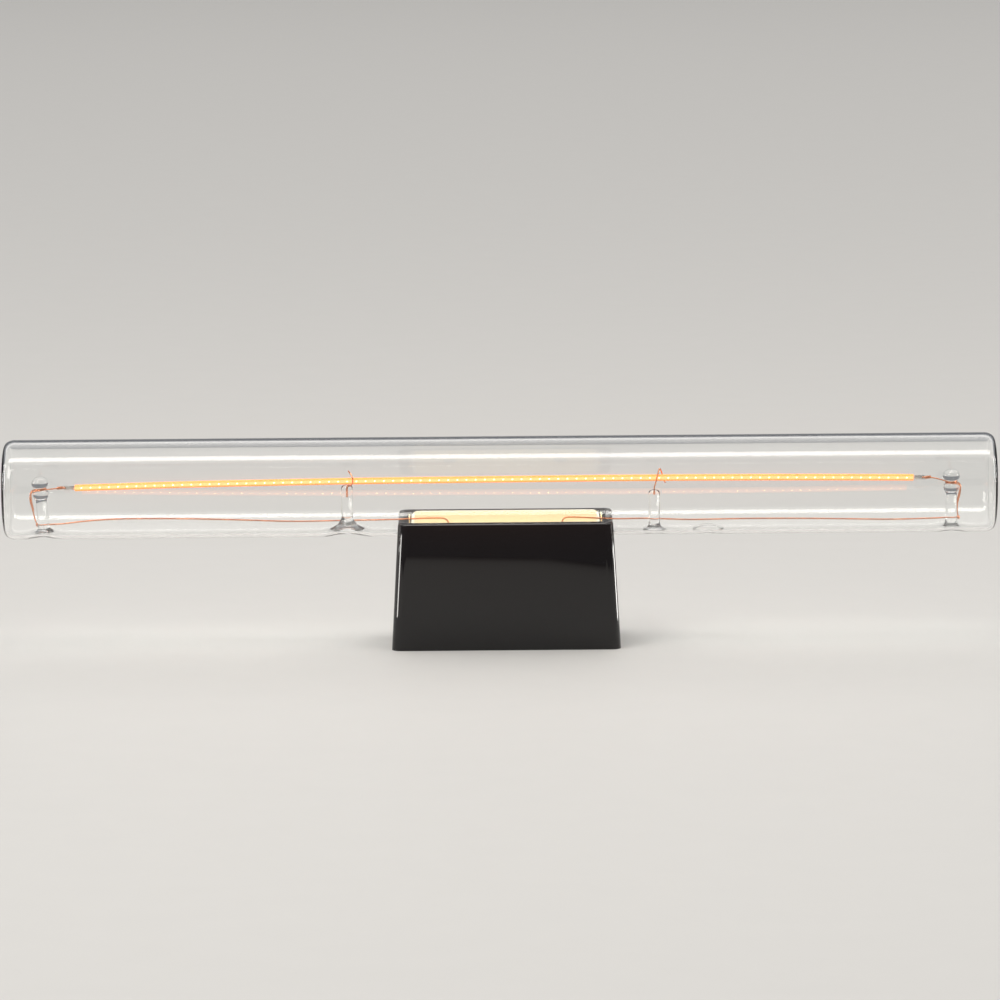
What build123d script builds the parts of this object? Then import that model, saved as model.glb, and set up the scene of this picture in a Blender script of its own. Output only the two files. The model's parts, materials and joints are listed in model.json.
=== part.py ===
"""Linear filament lamp of clear glass, pushed by the cap at its middle into a box-shaped holder.

Millimetres. The origin is the centre of the holder's base, +Z up, and the glass tube lies along X.
The lamp's own pieces are drawn about the middle of the tube's axis and lifted into the holder.
"""
import math
import os

from build123d import *

# Glass tube
TUBE_LENGTH = 300.0
TUBE_R = 15.0
GLASS = 1.0
END_DOME = 1.2
END_CORNER = 3.2
AXIS_Z = 47.5
TUBE_SHIFT = -1.7  # the cap is set this far off the tube's middle

# Glass posts inside the tube
END_POST_X = {"left": -137.6, "right": 136.1}
END_POST_LEAN = {"left": -1.2, "right": 0.0}
MID_POST_X = {"left": -46.0, "right": 46.6}
STEM_R = 1.5
STEM_LOW = -11.5
FOOT_R = 2.4
FOOT_HIGH = -12.3
COLLAR_R = 2.1
COLLAR_LOW = -1.5
COLLAR_HIGH = -0.9
NECK_R = 1.5
NECK_HIGH = 0.45
BEAD_R = 2.55
BEAD_TOP = 3.9
BEAD_TURNS = (0, 30, 55, 75)  # the melted bead's bands, in degrees up its ball
MID_POST_TOP = 0.1
POST_FLATS = 12
RING_FLATS = 24
FLARE_R = {"left": 5.2, "right": 3.5}
FLARE_H = {"left": 2.9, "right": 1.2}

# Where the tube's wall is drawn in under a post: depth and half width along the tube
DENTS = {
    "end left": (END_POST_X["left"], 1.3, 5.0),
    "end right": (END_POST_X["right"], 0.9, 4.5),
    "mid left": (MID_POST_X["left"], 1.6, 7.5),
    "mid right": (MID_POST_X["right"], 0.5, 4.5),
}
EXHAUST_X = 62.8
EXHAUST_R = 4.2
EXHAUST_LIP = 1.1

# Filament, its tabs and the wires
FILAMENT_W = 1.3
FILAMENT_H = 1.9
TAB_LENGTH = 3.4
TAB_H = 1.2
TAB_THICK = 0.3
TAB_EYE = 0.7  # from the tab's end to the hole for its lead
WELD = 0.8
LEAD_D = 0.4
FEED_D = 0.5
HOOK_D = 0.4
FEED_X = 17.0  # from the holder's middle
FEED_TURN_Z = -9.7  # where a feed wire turns down to its seal
LEAD_BULGE = {"left": 3.9, "right": 2.9}  # how far the leads stand off the end posts
SEAL_R = 1.4
SEAL_IN = 1.4
SEAL_OUT = 1.6

# Cap under the tube
CEMENT = 0.3
CEMENT_LENGTH = 55.2
CEMENT_WIDTH = 22.8
CAP_LENGTH = 57.0
CAP_WIDTH = 24.0
CAP_EDGE = 8.8  # from the axis down to the saddle's edges
CAP_CORNER = 2.0
CAP_WALL = 1.5
FLANGE_Z = 28.0
PEG_LENGTH = 46.0
PEG_WIDTH = 14.0
PEG_WALL = 1.2
PEG_Z = 14.0
LID_GRIP = 0.9
LID_GRIP_LENGTH = 24.0
LID_GRIP_HEIGHT = 3.4
BLADE = 0.8
BLADE_WIDTH = 8.0
BLADE_LOW = 16.0
BLADE_HIGH = 27.0
TAIL_WIDTH = 3.0
TAIL_END = 18.6

# Driver inside the cap
BOARD_LENGTH = 42.0
BOARD_WIDTH = 11.0
BOARD = 1.2
BOARD_Z = 27.5
SOLDER = 0.6  # how far wires and tails stand out below the board
LEG = 0.5
CAN_R = 3.1
CAN_LENGTH = 10.5
RESISTOR_R = 1.1
RESISTOR_LENGTH = 5.4
RESISTOR_X = 8.4

# Holder
HOUSING_LENGTH = 68.8
HOUSING_WIDTH = 33.0
HOUSING_HEIGHT = 38.2
HOUSING_CORNER = 3.0
HOUSING_WALL = 2.0
DRAFT = 3.22
SADDLE_GAP = 0.4
PLATE = 3.0
LUG_Z = 1.2
CABLE_HOLE_R = 4.5
FIXING_SPACING = 55.0
FIXING_R = 2.1
CARRIER_LENGTH = 57.6
CARRIER_WIDTH = 23.6
CARRIER_FLOOR = 11.0
CARRIER_TOP = FLANGE_Z
SLOT_GAP = 0.4
SHEET = 0.4
CLIP_WIDTH = 23.0
SPRING_WIDTH = 8.0
TERMINAL_X = 20.0
CLAMP_LENGTH = 6.6
CLAMP_WIDTH = 8.0
CLAMP_HEIGHT = 6.2
CLAMP_ROOF = 1.0
CORE_ENTRY = 3.0
GRUB_R = 1.45
GRUB_LENGTH = 3.6
LUG_X = 19.0
LUG_LENGTH = 6.0
RIB = 1.6
RIM_CHAMFER = 0.6
BASE_GAP = 0.15
FOOT_X = 17.0
FOOT_Y = 9.4
FOOT_HALF = 2.0
HOOK = 0.8
HOOK_LOW = 0.4
HOOK_HIGH = 1.6
POCKET = (22.5, 27.9)  # from the middle, along the insert
POCKET_LOW = 12.6
SPRING_SLOT = (25.4, 27.4)
SPRING_FOOT = 16.8
SPRING_X = 26.4
SPRING_BEND = 0.9
SPRING_TOUCH = (20.5, 22.5)  # the bowed stretch's heights
CLIP_NOTCH = 5.0
CLIP_FEET = (6.5, 11.0)
CLIP_FOOT_LENGTH = 3.6
SIDES = {"left": -1, "right": 1}


def box(x0, x1, y0, y1, z0, z1):
    """A block given by its faces."""
    size = Box(x1 - x0, y1 - y0, z1 - z0)
    return Pos((x0 + x1) / 2, (y0 + y1) / 2, (z0 + z1) / 2) * size


def upright(radius, x, y, z0, z1):
    """A round bar standing on its end."""
    return Pos(x, y, (z0 + z1) / 2) * Cylinder(radius, z1 - z0)


def lying(radius, x0, x1, y=0.0, z=0.0):
    """A round bar along X."""
    return Pos((x0 + x1) / 2, y, z) * Rot(0, 90, 0) * Cylinder(radius, x1 - x0)


def drafted(length, width, height):
    """A block that narrows upwards by the mould's draft."""
    return extrude(Rectangle(length, width), amount=height, taper=DRAFT)


def flat_sided(outline, flats):
    """An upright post from radii and heights, each band of it drawn with flats all round."""
    bands = []
    for (low_r, low), (high_r, high) in zip(outline, outline[1:]):
        if high > low:
            slope = math.degrees(math.atan2(abs(low_r - high_r), high - low))
            wide = RegularPolygon(max(low_r, high_r), flats, major_radius=False)
            band = extrude(wide, amount=high - low, taper=slope)
            place = Pos(0, 0, low) if low_r >= high_r else Pos(0, 0, high) * Rot(180, 0, 0)
            bands.append(place * band)
    return Part() + bands


def wire_path(points):
    """Straight runs joined by arcs, each arc as large as its two runs allow."""
    spots = [Vector(*p) for p in points]
    runs = [b - a for a, b in zip(spots, spots[1:])]
    radii = []
    for before, after in zip(runs, runs[1:]):
        shorter = min(before.length, after.length)
        half_turn = math.radians(before.get_angle(after) / 2)
        radii.append(0.45 * shorter / math.tan(half_turn))
    return FilletPolyline(*points, radius=radii)


def wire(points, diameter):
    """Fine wire along a path of runs and arcs, drawn with five flats round it."""
    path = wire_path(points)
    section = Plane(origin=path @ 0, z_dir=path % 0) * RegularPolygon(diameter / 2, 5)
    return sweep(section, path=path)


def strip(points, radius, thickness, width):
    """Sheet strip folded in the XZ plane, given by the middle of its thickness."""
    path = FilletPolyline(*[(x, 0, z) for x, z in points], radius=radius)
    start = Plane(origin=path @ 0, x_dir=(0, 1, 0), z_dir=path % 0)
    return sweep(start * Rectangle(width, thickness), path=path)


def winding(radius, wire_d, turns):
    """Close turns of wire round a post, each a ring with a ridge round it."""
    low, ridge = -turns * wire_d / 2, radius + 0.9 * wire_d
    outline = [(ridge - 0.14, low)]
    for turn in range(turns):
        outline += [(ridge, low + (turn + 0.5) * wire_d), (ridge - 0.14, low + (turn + 1) * wire_d)]
    return flat_sided(outline, POST_FLATS) - flat_sided([(radius, low), (radius, -low)], POST_FLATS)


# Glass posts, melted into the tube's wall

def end_post(side):
    """A post at the tube's end: flared foot, stem, collar, wire groove and melted bead on top."""
    outline = [(FOOT_R, GLASS - TUBE_R), (FOOT_R, FOOT_HIGH), (STEM_R, STEM_LOW), (STEM_R, COLLAR_LOW),
               (COLLAR_R, COLLAR_LOW), (COLLAR_R, COLLAR_HIGH), (NECK_R, COLLAR_HIGH), (NECK_R, NECK_HIGH)]
    for turn in BEAD_TURNS:
        up = math.radians(turn)
        outline.append((BEAD_R * math.cos(up), BEAD_TOP - BEAD_R + BEAD_R * math.sin(up)))
    post = Rot(0, END_POST_LEAN[side], 0) * flat_sided(outline, POST_FLATS)
    return Pos(END_POST_X[side], 0, 0) * post


def mid_post(side):
    """A post that carries a hook: flared foot, plain stem and a softened top."""
    foot = -TUBE_R + GLASS + DENTS["mid " + side][1]
    flare, high = FLARE_R[side], FLARE_H[side]
    outline = [(flare, foot - 0.5), (flare, foot + 0.1), (STEM_R + 0.3, foot + 0.7 * high),
               (STEM_R, foot + high), (STEM_R, MID_POST_TOP - 0.4), (0.7 * STEM_R, MID_POST_TOP)]
    return Pos(MID_POST_X[side], 0, 0) * flat_sided(outline, POST_FLATS)


# Glass tube: blown ends, dents under the posts, the exhaust seal and two wire seals

def closed_tube(length, radius, dome, bands):
    """A round bar along X with rounded corners in a few bands, and domed ends where dome is given."""
    end = length / 2
    turns = [math.pi / 2 * step / bands for step in range(bands + 1)]
    corner = [(end - dome - END_CORNER * (1 - math.cos(a)), radius - END_CORNER * (1 - math.sin(a)))
              for a in turns]
    half = [(end, 0)] + [(end, 0.55 * radius)] * bool(dome) + corner
    outline = half + [(-x, r) for x, r in half[::-1]]
    return revolve(make_face(Plane.XZ * Polyline(*outline, close=True)), Axis.X)


def dent(x, depth, half_width, wall):
    """The roller that draws the tube's bottom in at a post, with the wall's thickness added to it."""
    roller_r = (half_width**2 + depth**2) / (2 * depth)
    roller = Rot(90, 0, 0) * Cylinder(roller_r + wall, 2 * TUBE_R)
    return Pos(x, 0, -TUBE_R + depth - roller_r) * roller


def seal_places():
    """Where the two feed wires leave the tube, measured along the tube."""
    return [side * FEED_X - TUBE_SHIFT for side in SIDES.values()]


def wire_seal(x):
    """The bead of glass around a feed wire, inside and outside the wall."""
    outline = [(SEAL_R, -TUBE_R - SEAL_OUT), (SEAL_R, -TUBE_R + GLASS + SEAL_IN)]
    return Pos(x, 0, 0) * flat_sided(outline, POST_FLATS)


def exhaust_lip():
    """The ring left inside where the exhaust tube was melted off."""
    low, high = -TUBE_R + GLASS / 2, -TUBE_R + GLASS + EXHAUST_LIP
    outer, inner = EXHAUST_R + EXHAUST_LIP / 2, EXHAUST_R - EXHAUST_LIP / 2
    ring = flat_sided([(outer, low), (outer, high)], RING_FLATS)
    ring -= flat_sided([(inner, low), (inner, high)], RING_FLATS)
    return Pos(EXHAUST_X, 0, 0) * ring


def tube_cavity():
    """The space inside the glass."""
    space = closed_tube(TUBE_LENGTH - 2 * (END_DOME + GLASS), TUBE_R - GLASS, 0, 1)
    for x, depth, half_width in DENTS.values():
        space -= dent(x, depth, half_width, GLASS)
    for x in seal_places():
        space -= wire_seal(x)
    for side in SIDES:
        space -= end_post(side)
        space -= mid_post(side)
    return space - exhaust_lip()


def glass_tube():
    """The blown tube with the posts and seals that are melted into its wall."""
    body = closed_tube(TUBE_LENGTH, TUBE_R, END_DOME, 2)
    for x, depth, half_width in DENTS.values():
        body -= dent(x, depth, half_width, 0)
    for x in seal_places():
        body += wire_seal(x)
    body -= tube_cavity()
    for side in SIDES:
        body -= feed_wire(side)
        body -= hook_wire(side)
    return body


# Filament and wires

FILAMENT_LINE = [(-128.0, 0, 0.45), (-95.0, 0, 1.25), (-46.0, 0, 1.85), (0.0, 0, 2.05),
                 (46.6, 0, 2.15), (90.0, 0, 1.95), (124.7, 0, 1.55)]
FEED_LINES = {
    "left": [(-139.6, 1.2, -11.0), (-137.2, 2.35, -11.15), (-132.5, 2.3, -11.0),
             (-124.4, 2.2, -10.0), (-114.8, 2.2, -9.45), (-96.4, 2.3, -9.55),
             (-78.6, 2.5, -10.15), (-62.3, 2.9, -10.95), (-46.6, 3.6, -10.8),
             (-33.0, 2.6, -10.5), (-21.0, 0.9, -9.8)],
    "right": [(138.4, 1.2, -11.0), (136.6, 2.35, -11.1), (133.3, 2.3, -11.3),
              (118.9, 2.3, -11.7), (94.1, 2.2, -11.1), (74.5, 2.2, -10.95),
              (57.4, 2.5, -11.25), (49.8, 2.6, -10.95), (44.7, 2.6, -10.7),
              (34.1, 2.3, -10.8), (23.4, 0.9, -9.9)],
}


def led_filament():
    """The flexible strip of chips in its coat, one long bar that rises a little to the middle."""
    path = wire_path(FILAMENT_LINE)
    start = Plane(origin=path @ 0, x_dir=(0, 1, 0), z_dir=path % 0)
    section = chamfer(Rectangle(FILAMENT_W, FILAMENT_H).vertices(), 0.38)
    return sweep(start * section, path=path)


def filament_tab(side):
    """The tinned strip that carries an end of the filament, with a hole for its lead."""
    sign = SIDES[side]
    x, y, z = FILAMENT_LINE[0 if sign < 0 else -1]
    start, stop = sorted((x, x + sign * TAB_LENGTH))
    plate = box(start, stop, -TAB_THICK / 2, TAB_THICK / 2, z - TAB_H / 2, z + TAB_H / 2)
    return plate - led_filament() - end_lead(side)


def end_lead(side):
    """Copper lead: from the tab to the post's groove, twice round it, and down outside the post."""
    sign = SIDES[side]
    post = END_POST_X[side]
    x, y, z = FILAMENT_LINE[0 if sign < 0 else -1]
    eye = x + sign * (TAB_LENGTH - TAB_EYE)
    turn_r = NECK_R / math.cos(math.pi / POST_FLATS) + LEAD_D / 2
    bulge = LEAD_BULGE[side]
    to_post = wire([(eye, 0.6, z), (eye, -0.45, z), (eye + sign * 2.6, -0.55, z + 0.1),
                    (post, -turn_r, 0.1)], LEAD_D)
    down = wire([(post, turn_r, -0.1), (post + sign * bulge, 1.2, -0.6),
                 (post + sign * (bulge - 1.0), 0.6, -6.6), FEED_LINES[side][0]], LEAD_D)
    second = wire([(post, -turn_r, 0), (post + sign * (bulge - 0.3), -1.4, -0.4),
                   (post + sign * (bulge - 1.2), 0.6, -6.4)], LEAD_D)
    turns = Rot(0, END_POST_LEAN[side], 0) * Pos(0, 0, 0.05) * winding(NECK_R, LEAD_D, 2)
    lead = to_post + down + second + Pos(post, 0, 0) * turns
    twist = Rot(0, 90, 0) * extrude(RegularPolygon(LEAD_D, 6), amount=0.75, both=True)
    lead += Pos(eye + sign * 1.6, -0.5, z + 0.05) * twist
    weld = Pos(*FEED_LINES[side][0]) * Box(WELD, WELD, 1.25 * WELD)
    return lead + chamfer(weld.edges().filter_by(Axis.Z), WELD / 4) - feed_wire(side)


def feed_wire(side):
    """Wire along the bottom of the tube, through its glass seal and down into the driver's board."""
    seal = SIDES[side] * FEED_X - TUBE_SHIFT
    solder = BOARD_Z - SOLDER - AXIS_Z
    points = FEED_LINES[side] + [(seal, 0, FEED_TURN_Z), (seal, 0, solder)]
    return wire(points, FEED_D)


def hook_wire(side):
    """Fine wire from a mid post's top that holds the filament down."""
    x = MID_POST_X[side]
    if side == "left":
        points = [(x, 0, -3), (x, 0, 0.25), (x + 0.4, -1.0, 0.8), (x + 0.5, -1.15, 2.7),
                  (x + 0.55, -0.2, 3.5), (x + 0.3, 0.5, 4.2), (x - 0.4, 0.6, 5.2)]
    else:
        points = [(x, 0, -3), (x, 0, 0.25), (x - 0.5, -1.0, 0.8), (x - 0.6, -1.15, 3.2),
                  (x + 0.25, -0.1, 5.3), (x + 0.9, 1.1, 3.2), (x + 0.6, 1.2, 0.9)]
    return wire(points, HOOK_D)


# Cap: a saddle glued under the tube, with a hollow peg that holds the driver

def tube_bar(radius):
    """A bar on the tube's axis, in the holder's frame."""
    return lying(radius, -CAP_LENGTH, CAP_LENGTH, 0, AXIS_Z)


def peg_block(shrink, z0, z1):
    """The peg's outline with cut corners, drawn in by shrink."""
    face = Rectangle(PEG_LENGTH - 2 * shrink, PEG_WIDTH - 2 * shrink)
    face = chamfer(face.vertices(), max(1.2 - 0.6 * shrink, 0.3))
    return Pos(0, 0, z0) * extrude(face, amount=z1 - z0)


def seal_well(sign):
    """The opening in saddle and cement that lets a wire seal through."""
    half = SEAL_R + 0.4
    return box(sign * FEED_X - half, sign * FEED_X + half, -half, half, FLANGE_Z, AXIS_Z - CAP_EDGE)


def cap_shell():
    """The white moulding: saddle, skirt and peg."""
    top = AXIS_Z - CAP_EDGE
    skirt = RectangleRounded(CAP_LENGTH, CAP_WIDTH, CAP_CORNER)
    outer = Pos(0, 0, FLANGE_Z) * extrude(skirt, amount=top - FLANGE_Z)
    half, side = CAP_LENGTH / 2 - CAP_WALL, CAP_WIDTH / 2 - CAP_WALL
    inner = box(-half, half, -side, side, FLANGE_Z, top)
    saddle = tube_bar(TUBE_R + CEMENT)
    roof = tube_bar(TUBE_R + CEMENT + CAP_WALL)
    body = outer + peg_block(0, PEG_Z, FLANGE_Z + 5) - saddle
    body -= inner - roof - peg_block(0, FLANGE_Z, top)
    body -= peg_block(PEG_WALL, PEG_Z, top) - roof
    for sign in SIDES.values():
        body -= seal_well(sign)
        inner_x, outer_x = sorted((sign * (PEG_LENGTH / 2 - 2), sign * (PEG_LENGTH / 2 + 1)))
        body -= box(inner_x, outer_x, -TAIL_WIDTH / 2, TAIL_WIDTH / 2, BOARD_Z - SOLDER, BOARD_Z)
    return body


def cap_cement():
    """The layer of cement between the tube and the saddle."""
    layer = tube_bar(TUBE_R + CEMENT) - tube_bar(TUBE_R)
    half, side = CEMENT_LENGTH / 2, CEMENT_WIDTH / 2
    layer &= box(-half, half, -side, side, FLANGE_Z, AXIS_Z - CAP_EDGE)
    for sign in SIDES.values():
        layer -= seal_well(sign)
    return layer


def cap_lid():
    """The plate that closes the peg, with two upstands that grip its long walls."""
    plate = peg_block(PEG_WALL, PEG_Z, PEG_Z + PEG_WALL)
    for y in (-1, 1):
        edge = PEG_WIDTH / 2 - PEG_WALL
        y0, y1 = sorted((y * edge, y * (edge - LID_GRIP)))
        plate += box(-LID_GRIP_LENGTH / 2, LID_GRIP_LENGTH / 2, y0, y1, PEG_Z, PEG_Z + LID_GRIP_HEIGHT)
    return plate


def cap_contact(sign):
    """Brass blade on the peg's end, with a tail through the wall to the board."""
    face = PEG_LENGTH / 2
    x0, x1 = sorted((sign * face, sign * (face + BLADE)))
    half, tail = BLADE_WIDTH / 2, TAIL_WIDTH / 2
    blade = box(x0, x1, -half, half, BLADE_LOW, BLADE_HIGH)
    blade = chamfer(blade.edges().filter_by(Axis.X), 1.0)
    blade += box(x0, x1, -tail, tail, BLADE_HIGH - 2, BOARD_Z)
    t0, t1 = sorted((sign * TAIL_END, sign * face))
    return blade + box(t0, t1, -tail, tail, BOARD_Z - SOLDER, BOARD_Z)


def driver_board():
    """The board that the feed wires are soldered into."""
    board = Pos(0, 0, BOARD_Z + BOARD / 2) * Box(BOARD_LENGTH, BOARD_WIDTH, BOARD)
    for side in SIDES:
        board -= Pos(TUBE_SHIFT, 0, AXIS_Z) * feed_wire(side)
    return board


def chip(length, width, height, legs, x, y):
    """A moulded chip under the board with bent legs down both long sides."""
    body = box(x - length / 2, x + length / 2, y - width / 2, y + width / 2,
               BOARD_Z - height - 0.15, BOARD_Z - 0.15)
    for side in (-1, 1):
        for leg in range(legs):
            at = x + (leg - (legs - 1) / 2) * length / legs
            y0, y1 = sorted((y + side * (width / 2 - 0.2), y + side * (width / 2 + 0.9)))
            body += box(at - 0.25, at + 0.25, y0, y1, BOARD_Z - 0.3, BOARD_Z)
    return body


def smoothing_capacitor():
    """Aluminium can lying under the board, with two bent legs."""
    z = BOARD_Z - CAN_R - 0.8
    back, bend = 0.25 - CAN_LENGTH / 2, -1.55 - CAN_LENGTH / 2
    can = lying(CAN_R, back, back + CAN_LENGTH, 0, z)
    for y in (-1.0, 1.0):
        can += box(bend, back + 0.1, y - LEG / 2, y + LEG / 2, z - LEG / 2, z + LEG / 2)
        can += box(bend, bend + LEG, y - LEG / 2, y + LEG / 2, z, BOARD_Z)
    return can


def fuse_resistor():
    """Small axial resistor beside the blade's tail."""
    x, z = RESISTOR_X, BOARD_Z - RESISTOR_R - LEG
    body = Pos(x, 0, z) * Rot(90, 0, 0) * Cylinder(RESISTOR_R, RESISTOR_LENGTH)
    bend = RESISTOR_LENGTH / 2 + 1.2
    for side in (-1, 1):
        y0, y1 = sorted((side * (RESISTOR_LENGTH / 2 - 0.1), side * bend))
        end0, end1 = sorted((side * (bend - LEG), side * bend))
        body += box(x - LEG / 2, x + LEG / 2, y0, y1, z - LEG / 2, z + LEG / 2)
        body += box(x - LEG / 2, x + LEG / 2, end0, end1, z, BOARD_Z)
    return body


# Holder

def holder_housing():
    """The glossy drafted box: open below and above, its ends cut to let the tube through."""
    outer = drafted(HOUSING_LENGTH, HOUSING_WIDTH, HOUSING_HEIGHT)
    uprights = [e for e in outer.edges() if abs(e.position_at(0).Z - e.position_at(1).Z) > 1]
    outer = fillet(uprights, HOUSING_CORNER)
    inner = drafted(HOUSING_LENGTH - 2 * HOUSING_WALL, HOUSING_WIDTH - 2 * HOUSING_WALL,
                    HOUSING_HEIGHT + 2)
    outer -= lying(TUBE_R + SADDLE_GAP, -HOUSING_LENGTH, HOUSING_LENGTH, 0, AXIS_Z)
    rim = outer.faces().sort_by(Axis.Z)[-1].edges() + outer.faces().sort_by(Axis.Z)[-2].edges()
    long_rim = [e for e in rim if abs(e.center().Y) > 13.0 and e.length > 40]
    outer = chamfer(long_rim, RIM_CHAMFER)
    body = outer - inner
    for x in (-LUG_X, LUG_X):
        for side in (-1, 1):
            y0, y1 = sorted((side * (CARRIER_WIDTH / 2 + 0.1), side * (HOUSING_WIDTH / 2 - 1.5)))
            rib = box(x - RIB / 2, x + RIB / 2, y0, y1, PLATE + 2, CARRIER_TOP)
            body += rib & drafted(HOUSING_LENGTH - 1, HOUSING_WIDTH - 1, HOUSING_HEIGHT)
            y0, y1 = sorted((side * 10, side * (HOUSING_WIDTH / 2 - 1.2)))
            groove = LUG_LENGTH / 2 + 0.2
            body -= box(x - groove, x + groove, y0, y1, LUG_Z, PLATE)
    return body


def base_plate():
    """The plate that closes the housing below, held by four snap lugs in its long walls."""
    inset = 2 * (HOUSING_WALL + BASE_GAP)
    plate = drafted(HOUSING_LENGTH - inset, HOUSING_WIDTH - inset, PLATE)
    for x in (-LUG_X, LUG_X):
        for side in (-1, 1):
            y0, y1 = sorted((side * 10, side * (HOUSING_WIDTH / 2 - 1.4)))
            plate += box(x - LUG_LENGTH / 2, x + LUG_LENGTH / 2, y0, y1, LUG_Z, PLATE - 0.2)
    plate -= upright(CABLE_HOLE_R, 0, 0, -1, PLATE + 1)
    for sign in SIDES.values():
        plate -= upright(FIXING_R, sign * FIXING_SPACING / 2, 0, -1, PLATE + 1)
    for x in (-FOOT_X, FOOT_X):
        for y in (-FOOT_Y, FOOT_Y):
            inner, outer = sorted((y, y + math.copysign(HOOK, y)))
            plate -= box(x - FOOT_HALF, x + FOOT_HALF, y - 0.8, y + 0.8, -1, PLATE + 1)
            plate -= box(x - FOOT_HALF, x + FOOT_HALF, inner, outer + 0.4, -1, HOOK_HIGH)
    return plate


def contact_carrier():
    """The insulating insert: a socket for the cap's peg, pockets for the springs, and hooked feet."""
    half, side = CARRIER_LENGTH / 2, CARRIER_WIDTH / 2
    body = box(-half, half, -side, side, CARRIER_FLOOR, CARRIER_TOP)
    body -= peg_block(-SLOT_GAP, PEG_Z - 0.3, CARRIER_TOP + 1)
    for x in (-FOOT_X, FOOT_X):
        for y in (-FOOT_Y, FOOT_Y):
            body += box(x - FOOT_HALF, x + FOOT_HALF, y - FOOT_HALF, y + FOOT_HALF, PLATE, CARRIER_FLOOR)
            loose = FOOT_HALF - 0.1
            body += box(x - loose, x + loose, y - 0.7, y + 0.7, HOOK_LOW, PLATE)
            inner, outer = sorted((y, y + math.copysign(HOOK, y)))
            body += box(x - loose, x + loose, inner, outer + 0.1, HOOK_LOW, HOOK_HIGH)
    for sign in SIDES.values():
        spring_half = SPRING_WIDTH / 2 + 0.3
        x0, x1 = sorted(sign * x for x in POCKET)
        body -= box(x0, x1, -spring_half, spring_half, POCKET_LOW, CARRIER_TOP + 1)
        x0, x1 = sorted(sign * x for x in SPRING_SLOT)
        body -= box(x0, x1, -spring_half, spring_half, CARRIER_FLOOR - 1, CARRIER_TOP)
    return body


def contact_spring(sign):
    """Bronze strip: clamped flat at the terminal, up through the floor, bowed in to the blade."""
    touch, under = PEG_LENGTH / 2 + BLADE + SHEET / 2, CARRIER_FLOOR - SHEET / 2
    line = [(SPRING_FOOT, under), (SPRING_X, under), (SPRING_X, CARRIER_FLOOR + 4),
            (touch, SPRING_TOUCH[0]), (touch, SPRING_TOUCH[1]), (SPRING_X + 0.2, CARRIER_TOP - 0.8)]
    return strip([(sign * x, z) for x, z in line], SPRING_BEND, SHEET, SPRING_WIDTH)


def retaining_clip(sign):
    """Spring plate at the socket's end, cut to the tube, that grips the cap's end."""
    x0 = CARRIER_LENGTH / 2 + 0.1
    y = CLIP_WIDTH / 2
    plate = box(x0, x0 + SHEET, -y, y, CARRIER_FLOOR - SHEET, HOUSING_HEIGHT + 0.2)
    plate -= lying(TUBE_R + 0.5, 0, 40, 0, AXIS_Z)
    plate -= box(x0 - 1, x0 + 2, -CLIP_NOTCH, CLIP_NOTCH, 0, CARRIER_FLOOR + 5)
    for side in (-1, 1):
        y0, y1 = sorted(side * y for y in CLIP_FEET)
        plate += box(x0 - CLIP_FOOT_LENGTH, x0 + 0.2, y0, y1, CARRIER_FLOOR - SHEET, CARRIER_FLOOR)
    return plate if sign > 0 else mirror(plate, about=Plane.YZ)


def terminal_clamp(sign):
    """Brass block with a square entry for the core and a threaded hole below it for its screw."""
    x, half, side = sign * TERMINAL_X, CLAMP_LENGTH / 2, CLAMP_WIDTH / 2
    top = CARRIER_FLOOR - SHEET
    roof = top - CLAMP_ROOF
    block = box(x - half, x + half, -side, side, top - CLAMP_HEIGHT, top)
    block -= box(x - CORE_ENTRY / 2, x + CORE_ENTRY / 2, -side - 1, side + 1, roof - CORE_ENTRY, roof)
    return block - upright(GRUB_R, x, 0, top - CLAMP_HEIGHT - 1, roof - CORE_ENTRY / 2)


def terminal_screws():
    """The two grub screws that press on the cores."""
    screws = []
    for sign in SIDES.values():
        x, low = sign * TERMINAL_X, CARRIER_FLOOR - SHEET - CLAMP_HEIGHT - 0.4
        screw = upright(GRUB_R, x, 0, low, low + GRUB_LENGTH)
        screws.append(screw - box(x - 2, x + 2, -0.25, 0.25, low - 1, low + 0.8))
    return Compound(screws)


def lamp_nodes():
    """The pieces drawn about the tube's middle."""
    nodes = {"glass_tube": glass_tube(), "led_filament": led_filament()}
    for side in SIDES:
        nodes["filament_tab_" + side] = filament_tab(side)
        nodes["end_lead_" + side] = end_lead(side)
        nodes["feed_wire_" + side] = feed_wire(side)
        nodes["hook_wire_" + side] = hook_wire(side)
    return {name: Pos(TUBE_SHIFT, 0, AXIS_Z) * shape for name, shape in nodes.items()}


def holder_nodes():
    """The cap, its driver and the holder, drawn about the holder's middle."""
    nodes = {
        "cap_shell": cap_shell(),
        "cap_cement": cap_cement(),
        "cap_lid": cap_lid(),
        "driver_board": driver_board(),
        "bridge_rectifier": chip(4.7, 3.9, 1.5, 2, -12.5, 0),
        "driver_chip": chip(4.9, 3.9, 1.5, 4, 12.9, 0),
        "smoothing_capacitor": smoothing_capacitor(),
        "fuse_resistor": fuse_resistor(),
        "holder_housing": holder_housing(),
        "base_plate": base_plate(),
        "contact_carrier": contact_carrier(),
        "terminal_screws": terminal_screws(),
    }
    for side, sign in SIDES.items():
        nodes["cap_contact_" + side] = cap_contact(sign)
        nodes["contact_spring_" + side] = contact_spring(sign)
        nodes["retaining_clip_" + side] = retaining_clip(sign)
        nodes["terminal_clamp_" + side] = terminal_clamp(sign)
    return nodes


os.makedirs("parts", exist_ok=True)
for name, shape in {**lamp_nodes(), **holder_nodes()}.items():
    export_step(shape, f"parts/{name}.step")
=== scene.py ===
"""Linear filament lamp of clear glass, standing in its glossy black holder.

The glass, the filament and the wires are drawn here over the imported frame's own sizes. The moulded
and stamped pieces keep the frame's shapes, with their edges softened.
"""
import json
import math

import bmesh
import bpy
from mathutils import Matrix, Vector

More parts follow.
